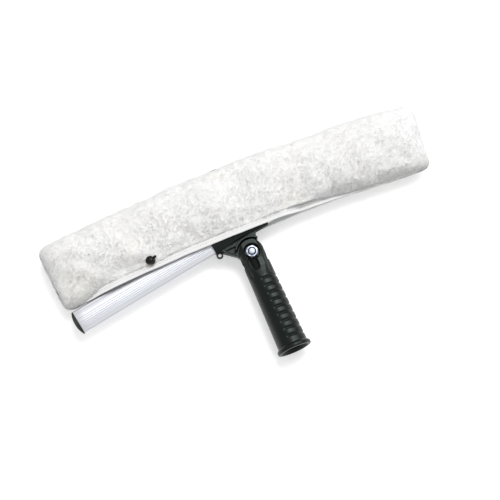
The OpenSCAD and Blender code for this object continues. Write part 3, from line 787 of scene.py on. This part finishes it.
def open_at(s):
    """How far the slit is open: 0 is sewn shut and 1 is wide open."""
    left = smooth_step(s, slit_left, slit_left + slit_fade_left)
    return left * (1 - smooth_step(s, slit_right - slit_fade_right, slit_right))


def round_end(s, half, fall, power):
    """1 along the middle, falling as a round curve to 0 over the last stretch."""
    beyond = np.clip((np.abs(s) - half + fall) / fall, 0, 1)
    return (1 - beyond ** power) ** (1 / power)


def plush_z(s, t, top, up, down):
    """Half thickness of the plush across the sleeve, thick at the open edge's lips."""
    puff = end_half + (top - end_half) * round_end(s, sleeve_half, 46, 2.4)
    side = np.maximum(0, 1 - (np.abs(t) / np.where(t > 0, up, down)) ** 2.5) ** 0.4
    keep = np.where(t > 0, 0, 0.74 * open_at(s) * smooth_step(-t, 0, down))
    return puff * np.maximum(side, keep)


def room_z(s, t):
    """Half of the room inside the sleeve."""
    o = open_at(s)
    top = pocket_half + (mouth_half - pocket_half) * o
    full = 0.8 + (top - 0.8) * round_end(s, sleeve_half - cavity_end, 16, 2.4)
    share = np.minimum(1, np.abs(t) / np.where(t > 0, cavity_up, cavity_down))
    side = (1 - share ** 4) ** 0.25
    return full * np.where(t > 0, side, side + (1 - side) * o)


def ripple(points, size, seed, count=28):
    """A smooth random field from about -1 to 1, with waves about one size long."""
    chance = np.random.default_rng(seed)
    waves = chance.normal(size=(3, count))
    waves *= 2 * math.pi / size * chance.uniform(0.7, 1.4, count) / np.linalg.norm(waves, axis=0)
    heights = np.sin(points @ waves + chance.uniform(0, 2 * math.pi, count))
    return heights.sum(1) * math.sqrt(2 / count) / 1.6


def lip_cover(s):
    """How much farther the plush reaches over the hem at its left end and along its right half."""
    left = 1 - smooth_step(s, slit_left + 10, slit_left + 42)
    return corner_cover * left + right_cover * smooth_step(s, slit_right - 50, slit_right + 10)


def skin_reach(s, way, half, up, down):
    """How far a skin with rounded corners reaches up or down, and its places across in one turn."""
    up_reach = up - corner_up * (1 - round_end(s, half, corner_up, 2))
    down_reach = down - corner_down * (1 - round_end(s, half, corner_down, 2))
    reach = np.where(way > 0, up_reach, down_reach)
    return reach, reach * np.sign(way) * np.abs(way) ** 0.85


def plush_wall_mesh():
    """The padded wall as one closed form: an outer skin, a lining and two lips."""
    rows = 150
    skin_count = 61
    half = sleeve_half - pile_sink
    q = np.linspace(-1, 1, rows)
    s = half * (0.3 * q + 0.7 * np.sin(math.pi / 2 * q))
    s, u = np.meshgrid(s, np.linspace(0, 2, skin_count), indexing="ij")
    front = u <= 1
    way = -np.cos(math.pi * np.where(front, u, 2 - u))
    up = plush_up - pile_sink
    down = plush_down - lip_sink + lip_cover(s[:, :1])
    reach, t = skin_reach(s, way, half, up, down)
    high = np.where(front, crown, floor_drop) - pile_sink
    z = plush_z(s, t * np.where(way > 0, up, down) / reach, high, up, down)
    outer = on_sleeve(s, t, np.where(front, z, -z))
    inner_half = sleeve_half - cavity_end
    s, u = np.meshgrid(s[:, 0] * inner_half / half, np.linspace(2, 0, skin_count), indexing="ij")
    front = u <= 1
    way = -np.cos(math.pi * np.where(front, u, 2 - u))
    down = cavity_down + (down - cavity_down) * open_at(s)
    _, t = skin_reach(s, way, inner_half, cavity_up, down)
    z = room_z(s, t)
    inner = on_sleeve(s, t, np.where(front, z, -z))
    return np.concatenate([outer, inner], axis=1), 2 * skin_count


def crease(s, t, start, stop, width, depth):
    """Depth of a soft fold in the front layer that runs between two places on the sleeve."""
    run = np.array(stop) - np.array(start)
    share = np.clip(((s - start[0]) * run[0] + (t - start[1]) * run[1]) / (run @ run), 0, 1)
    away = np.hypot(s - start[0] - share * run[0], t - start[1] - share * run[1])
    return depth * np.exp(-((away / width) ** 2))


def wavy(points):
    """Moves points of the plush as worn, washed fabric lies: uneven edges and soft hollows."""
    s, t, z = off_sleeve(points)
    edge = smooth_step(np.abs(t), 15, 42)
    along = np.stack([s, np.zeros_like(s), np.sign(z) * 20], 1)
    shift = 1.1 * ripple(along, 95, 3) + 0.5 * ripple(along, 38, 4) + 0.3 * ripple(along, 15, 7)
    moved_t = t + np.sign(t) * edge * shift * np.where(t > 0, 1, 0.35)
    face = smooth_step(np.abs(z), 8, 15) * (1 - 0.6 * smooth_step(-t, 20, 34))
    lift = 0.9 * ripple(points, 70, 5) + 0.25 * ripple(points, 30, 6) - 0.5
    end_fold = crease(s, t, (172, 2), (204, -22), 10, 1.6)
    arm_fold = crease(s, t, (102, -8), (112, -28), 9, 1.8)
    hem_folds = crease(s, t, (106, -34), (138, -33), 4, 2) + crease(s, t, (162, -33), (198, -35), 4, 2)
    folds = end_fold + arm_fold + hem_folds
    return on_sleeve(s, moved_t, z + np.sign(z) * face * lift - (z > 0) * folds)


def read(items, name, wide, kind=float):
    """One property of all the vertices, edges or triangles of a mesh, a row for each."""
    flat = np.empty(len(items) * wide, kind)
    items.foreach_get(name, flat)
    return flat.reshape(-1, wide)


def get_points(piece):
    """A piece's vertices in mm."""
    return read(piece.data.vertices, "co", 3) / mm


def set_points(piece, points):
    """Puts a piece's vertices at points in mm."""
    piece.data.vertices.foreach_set("co", (points * mm).ravel())
    piece.data.update()


def outer_share(points):
    """1 on the plush's outer skin and 0 on the lining and the lips' inner faces."""
    s, t, z = off_sleeve(points)
    inside = room_z(s, t)
    beyond = smooth_step(t, cavity_up + 1, cavity_up + 4)
    shut = smooth_step(-t, cavity_down + 1, cavity_down + 4) * (1 - open_at(s))
    ends = smooth_step(np.abs(s), sleeve_half - cavity_end - 1, sleeve_half - cavity_end + 2)
    return np.maximum.reduce([smooth_step(np.abs(z) - inside, 1.2, 3), beyond, shut, ends])


def evened(piece, moves, turns):
    """Evens out the moves of a piece's vertices over their neighbours, as a stiff knit does."""
    ends = read(piece.data.edges, "vertices", 2, np.int32)
    first, second = ends.T
    neighbours = np.bincount(ends.ravel(), minlength=len(moves))[:, None]
    for _ in range(turns):
        total = np.zeros_like(moves)
        np.add.at(total, first, moves[second])
        np.add.at(total, second, moves[first])
        moves = (moves + total / neighbours) / 2
    return moves


def swollen(piece):
    """Lets the padded wall swell as cloth under light pressure, its lining and lips held."""
    start = get_points(piece)
    held = piece.vertex_groups.new(name="held")
    weights = 1 - outer_share(start)
    for index, weight in enumerate(weights):
        held.add([index], float(weight), "REPLACE")
    cloth = piece.modifiers.new("cloth", "CLOTH")
    cloth.settings.quality = 4
    cloth.settings.vertex_group_mass = "held"
    cloth.settings.use_pressure = True
    cloth.settings.uniform_pressure_force = 4
    cloth.settings.shrink_min = -0.04
    cloth.settings.effector_weights.gravity = 0
    cloth.collision_settings.use_collision = False
    cloth.point_cache.frame_start = 1
    cloth.point_cache.frame_end = cloth_steps
    for step in range(1, cloth_steps + 1):
        bpy.context.scene.frame_set(step)
    seen = piece.evaluated_get(bpy.context.evaluated_depsgraph_get())
    moved = get_points(seen) - start
    piece.modifiers.clear()
    piece.vertex_groups.clear()
    bpy.context.scene.frame_set(1)
    far = np.linalg.norm(moved, axis=1, keepdims=True)
    set_points(piece, start + evened(piece, moved * swell / (far + swell), even_turns))


def knitted_plush(name, base, tip, rough, uneven):
    """White plush fibre: faint cream clouds between the tufts, dull and soft."""
    material, start, place = new_finish(name)
    clouds = noise(place, 22, 3)
    tufts = noise(place, 300, 3, Roughness=0.6)
    patches = start.node("ShaderNodeValToRGB", {"stops": [(0.42, 0), (0.7, 1)]}, {"Fac": clouds})
    colour = blend(tufts * 0.35, blend(patches, tip, base), base)
    values = {"Base Color": colour, "Roughness": rough + tufts * 0.1, "Specular IOR Level": 0.2}
    if uneven:
        values["Normal"] = bumped(tufts, 0.4, 0.0004)
    return finished(material, start, values)


plush_cream = (0.945, 0.942, 0.918, 1)
plush_white = (0.965, 0.965, 0.965, 1)
wall_rings, wall_count = plush_wall_mesh()
plush = new_piece("plush_sleeve", wall_rings, loft_faces(len(wall_rings), wall_count))
change(plush, "REMESH", mode="VOXEL", voxel_size=cloth_grain * mm)
change(plush, "SMOOTH", factor=0.5, iterations=3)
set_points(plush, wavy(get_points(plush)))
swollen(plush)
change(plush, "SUBSURF", levels=1, render_levels=1)
plush.data.shade_smooth()
plush_backing = knitted_plush("knitted_plush", plush_cream, plush_white, 0.85, True)
dress(plush, plush_backing, "sleeve", "white_plush", "sleeve_fleece")


# Pile: the plush's cut fibres, about 2.5 mm long, that stand out of the backing in small
# leaning tufts. Each strand is a thin cone; they are grouped by half and side of the sleeve.
strand_count = 60000
strand_length = 2.5
strand_r = 0.26
strand_round = 0.1
strand_upward = 0.8
strand_scatter = 0.16
strand_rise = 0.45
strand_sink = 0.4
floor_room = 0.15
tuft_strands = 26
tuft_size = 3.2
tuft_lean = 0.14
tuft_gather = 0.05


def unit(rows):
    """Directions, one to a row, brought to length 1."""
    return rows / np.linalg.norm(rows, axis=1, keepdims=True)


def on_part(points, front, right):
    """Whether points lie on the sleeve's front or back and on its right or left half."""
    s, _, z = off_sleeve(points)
    return ((z > 0) == front) & ((s >= 0) == right)


def rooted(piece, count, seed, front, right):
    """Random places on one part of the outer skin, with their normals, spread evenly over it."""
    chance = np.random.default_rng(seed)
    mesh = piece.data
    mesh.calc_loop_triangles()
    corners = read(mesh.loop_triangles, "vertices", 3, np.int32)
    points = get_points(piece)
    normals = read(mesh.vertices, "normal", 3)
    middle = points[corners].mean(1)
    first, second, third = points[corners].transpose(1, 0, 2)
    area = np.linalg.norm(np.cross(second - first, third - first), axis=1)
    area = area * (outer_share(middle) > 0.55) * on_part(middle, front, right)
    picked = chance.choice(len(corners), count, p=area / area.sum())
    share = chance.uniform(size=(count, 2))
    over = share.sum(1) > 1
    share[over] = 1 - share[over]
    share = np.stack([1 - share.sum(1), share[:, 0], share[:, 1]], 1)
    root = (points[corners[picked]] * share[..., None]).sum(1)
    normal = (normals[corners[picked]] * share[..., None]).sum(1)
    return root, unit(normal)


def pile_piece(name, seed, front, right):
    """One group of strands, gathered to tufts, as one mesh of thin three-sided cones."""
    chance = np.random.default_rng(seed + 100)
    root, normal = rooted(plush, strand_count, seed, front, right)
    tuft_count = int(strand_count / tuft_strands)
    centre, _ = rooted(plush, tuft_count, seed + 50, front, right)
    tree = KDTree(tuft_count)
    for index, place in enumerate(centre):
        tree.insert(place, index)
    tree.balance()
    tuft = np.array([tree.find(place)[1] for place in root])
    lean = unit(chance.normal(size=(tuft_count, 3)))
    tall = chance.uniform(0.82, 1.12, tuft_count)
    way = normal + tuft_lean * lean[tuft] + tuft_gather * (centre[tuft] - root) / tuft_size
    way += strand_scatter * chance.normal(size=(strand_count, 3))
    way -= normal * np.minimum((way * normal).sum(1) - strand_rise, 0)[:, None]
    way = unit(way)
    length = strand_length * tall[tuft] * chance.uniform(0.75, 1.1, strand_count)
    tip = root + way * length[:, None]
    tip[:, 2] = np.maximum(tip[:, 2], floor_room - floor_drop)
    side = unit(np.cross(way, chance.normal(size=(strand_count, 3))))
    other = np.cross(way, side)
    base = root - normal * strand_sink
    feet = [
        base + strand_r * (math.cos(a) * side + math.sin(a) * other)
        for a in (0, 2 * math.pi / 3, 4 * math.pi / 3)
    ]
    points = np.stack(feet + [tip], 1).reshape(-1, 3) * mm
    start = np.arange(strand_count)[:, None, None] * 4
    corners = (start + np.array([[0, 1, 3], [1, 2, 3], [2, 0, 3]])).reshape(-1)
    mesh = bpy.data.meshes.new(name)
    mesh.vertices.add(len(points))
    mesh.vertices.foreach_set("co", points.ravel())
    mesh.loops.add(len(corners))
    mesh.loops.foreach_set("vertex_index", corners)
    mesh.polygons.add(len(corners) // 3)
    mesh.polygons.foreach_set("loop_start", np.arange(0, len(corners), 3))
    mesh.update(calc_edges=True)
    mesh.shade_smooth()
    upward = np.sign(root[:, 2:]) * np.array([0, 0, strand_upward])
    facing = [normal + upward + strand_round * (foot - base) / strand_r for foot in feet]
    facing = np.stack(facing + [normal + upward], 1).reshape(-1, 3)
    mesh.normals_split_custom_set_from_vertices(unit(facing))
    s, t, _ = off_sleeve(root)
    spread = np.stack([s / sleeve_half, t / plush_up], 1) * 0.48 + 0.5
    nudge = np.array([[0, 0], [0.0006, 0], [0, 0.0006], [0.0006, 0.0006]])
    unwrapped = (spread[:, None, :] + nudge).reshape(-1, 2)[corners]
    layer = mesh.uv_layers.new(name="tufts")
    layer.uv.foreach_set("vector", unwrapped.astype(np.float32).ravel())
    piece = bpy.data.objects.new(name, mesh)
    bpy.context.scene.collection.objects.link(piece)
    return piece


pile_material = knitted_plush("plush_fibre", plush_cream, plush_white, 0.8, False)
pile_seed = 11
for side in ("front", "back"):
    for half in ("left", "right"):
        pile = pile_piece("pile_" + side + "_" + half, pile_seed, side == "front", half == "right")
        dress(pile, pile_material, "sleeve", "white_plush")
        pile_seed += 1


# Hem tapes: a smooth woven tape folded over each raw edge of the slit and sewn down with a
# line of lock stitches. They follow the plush's lips from end to end.
tape_t = 2
tape_tuck = 2.6
tape_gap = 0.15
tape_half = sleeve_half - 11
hem_droop = 0.75
stitch_half = sleeve_half - 26
stitch_t = -plush_down - 1.7
stitch_pitch = 3.2
stitch_long = 2.3
stitch_r = 0.24
stitch_rings = 7
stitch_sides = 6


def tape_place(s, side):
    """Height of a tape's lower face: the hems droop together to the right of the bracket."""
    droop = hem_droop * smooth_step(s, 42, 70)
    return side * (tape_gap + mouth_half * open_at(s) * (1 - droop))


def tape_wave(s, side):
    """Small unevenness of a sewn edge, along the sleeve."""
    along = np.stack([s, np.zeros_like(s), np.full_like(s, side * 30)], 1)
    return 0.45 * ripple(along, 60, 21) + 0.18 * ripple(along, 14, 22)


def tape_piece(name, side):
    """A folded tape: a flat section with round edges, drawn in a little at each stitch."""
    s = np.linspace(-tape_half, tape_half, 560)
    turn = np.linspace(0, 2 * math.pi, 24, endpoint=False)
    wave = tape_wave(s, side)
    pucker = 0.1 * np.cos(2 * math.pi * s / stitch_pitch)
    across = np.sign(np.cos(turn)) * np.abs(np.cos(turn)) ** 0.45 * (tape_w + tape_tuck) / 2
    above = np.sign(np.sin(turn)) * np.abs(np.sin(turn)) ** 0.7 * tape_t / 2
    middle = -plush_down - (tape_w - tape_tuck) / 2
    near_seam = np.exp(-(((across[None, :] + middle - stitch_t) / 1.1) ** 2))
    taper = 0.2 + 0.8 * round_end(s, tape_half, 18, 2)[:, None]
    thick = above[None, :] * (1 + (pucker[:, None] - 0.3) * near_seam) * taper
    top_edge = tape_tuck - plush_down
    t = top_edge + (middle - top_edge + across[None, :]) * taper + wave[:, None] * 0.6
    z = tape_place(s, side)[:, None] + side * (tape_t / 2 + thick) + side * 0.25 * np.abs(wave)[:, None]
    rings = on_sleeve(np.broadcast_to(s[:, None], t.shape), t, z)
    return new_piece(name, rings, loft_faces(len(s), len(turn)))


def stitch_piece(name, side):
    """A row of lock stitches: short rounded threads that dip into the tape at both ends."""
    share = np.linspace(-1, 1, stitch_rings)
    around = np.linspace(0, 2 * math.pi, stitch_sides, endpoint=False)
    points = []
    faces = []
    for start in np.arange(-stitch_half, stitch_half, stitch_pitch):
        s = np.full(1, start)
        wave = tape_wave(s, side)[0]
        lift = float(tape_place(s, side)[0]) + side * (tape_t * 0.93 + 0.25 * abs(wave))
        along = start + share * stitch_long / 2
        fat = stitch_r * np.sqrt(np.maximum(1 - share ** 4, 0.02))
        dip = lift - side * 0.45 * share ** 4
        t = stitch_t + wave * 0.6 + fat[:, None] * np.cos(around)
        z = dip[:, None] + fat[:, None] * np.sin(around)
        first = len(points) * stitch_rings * stitch_sides
        points.append(on_sleeve(np.broadcast_to(along[:, None], t.shape), t, z).reshape(-1, 3))
        faces += [tuple(i + first for i in face) for face in loft_faces(stitch_rings, stitch_sides)]
    return new_piece(name, np.concatenate(points), faces)


def woven_tape(name, pale, shaded):
    """White cotton tape: a fine plain weave that runs along the sleeve."""
    material, start, place = new_finish(name)
    yarn = {"Vector": laid_along(place, bar_turn - skew), "Scale": 420, "Distortion": 1.5}
    warp = start.node("ShaderNodeTexWave", {"bands_direction": "X"}, yarn)
    weft = start.node("ShaderNodeTexWave", {"bands_direction": "Y"}, yarn)
    soil = noise(place, 45, 4)
    return finished(material, start, {
        "Base Color": blend(soil * 0.7 + warp * weft * 0.2, pale, shaded),
        "Roughness": 0.75 + soil * 0.15, "Normal": bumped(warp + weft, 0.5, 0.00015),
        "Sheen Weight": 0.2, "Specular IOR Level": 0.3,
    })


tape_material = woven_tape("woven_tape", (0.86, 0.86, 0.86, 1), (0.76, 0.76, 0.75, 1))
# Painted shade: the real thread is white. Its grey stands for the shadow in the stitch dimples and under the
# overlapping pile.
thread_painted_shade_material = woven_tape("sewing_thread_painted_shade", (0.6, 0.6, 0.6, 1), (0.48, 0.48, 0.47, 1))
for tape_name, tape_side in (("front", 1), ("back", -1)):
    tape = tape_piece("hem_tape_" + tape_name + "_folded", tape_side)
    dress(tape, tape_material, "sleeve", "hem_tape", "hem_tape_" + tape_name)
    dress(stitch_piece("stitches_" + tape_name, tape_side), thread_painted_shade_material, "sleeve", "hem_tape")


# Press stud: a dark nickel cap riveted through the front layer near the slit, its socket behind
# it, and the knob half with its post on the back layer. It is left open, as in use.
cap_low, cap_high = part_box("snap_cap")
stud_place = (cap_low + cap_high) / 2 / mm
stud_top = cap_high.z / mm
cap_seat = stud_top - 1
cap_shift = Vector((0.6, -2.2, 0))
cap_r = 5.1
cap_dome = 3.4
wall_r = 4.7
cap_tip = math.radians(-30)
tab_len = 3
tab_half_w = 2
lower_rim_brown = (0.36, 0.3, 0.25, 1)
nickel_black = (0.008, 0.008, 0.008, 1)


def dark_nickel(name):
    """Black nickel over most of the cap, and fully metallic brown below a height round its lower edge."""
    material, start, place = new_finish(name)
    height = start.node("ShaderNodeSeparateXYZ", {}, {"Vector": place}, "Z")
    rubs = noise(place, 420, 4)
    edge = start.node("ShaderNodeMapRange", {}, {
        "Value": height + (rubs - 0.5) * 0.002,
        "From Min": (cap_seat - 2) * mm, "From Max": (cap_seat - 0.4) * mm,
    })
    return finished(material, start, {
        "Base Color": blend(edge, lower_rim_brown, nickel_black), "Metallic": 1 - edge * 0.5,
        "Roughness": 0.2 + rubs * 0.2, "Normal": bumped(rubs, 0.25, 0.00006),
    })


def tipped(piece):
    """Tips a form made round the origin, and sets it at the press stud's place."""
    lean = np.array(Matrix.Rotation(cap_tip, 3, Vector((0.75, 0.66, 0))))
    seat = stud_place + cap_shift
    set_points(piece, get_points(piece) @ lean.T + np.array([seat.x, seat.y, cap_seat]))
    return piece


dome_angle = np.linspace(0, math.pi / 2, 14)[1:]
cap_profile = [(0.01, cap_dome)]
cap_profile += [(cap_r * math.sin(a) ** 0.9, cap_dome * math.cos(a)) for a in dome_angle]
cap_profile += [(cap_r, -0.5), (wall_r + 0.1, -0.7), (wall_r, -0.9), (wall_r, -3.2)]
cap_profile += [(wall_r + 0.6, -3.6), (wall_r + 0.6, -4.2), (0.01, -4.2)]
snap = tipped(lathe("snap_cap_domed", cap_profile, count=64))
tab = lathe("snap_cap_tab", [(0.01, -0.8), (0.8, -0.7), (1, 0), (0.8, 0.7), (0.01, 0.8)], count=32)
tab_place = np.array([cap_r + tab_len * 0.45, 0.6, -0.6])
set_points(tab, get_points(tab) * np.array([tab_len, tab_half_w, 1]) + tab_place)
tipped(tab)
dark_metal = dark_nickel("dark_nickel")
dress(snap, dark_metal, "sleeve", "snap_metal", "snap_cap")
dress(tab, dark_metal, "sleeve", "snap_metal")
refinish("snap_post", dark_metal)
refinish("snap_socket", brass)
refinish("snap_stud", brass)
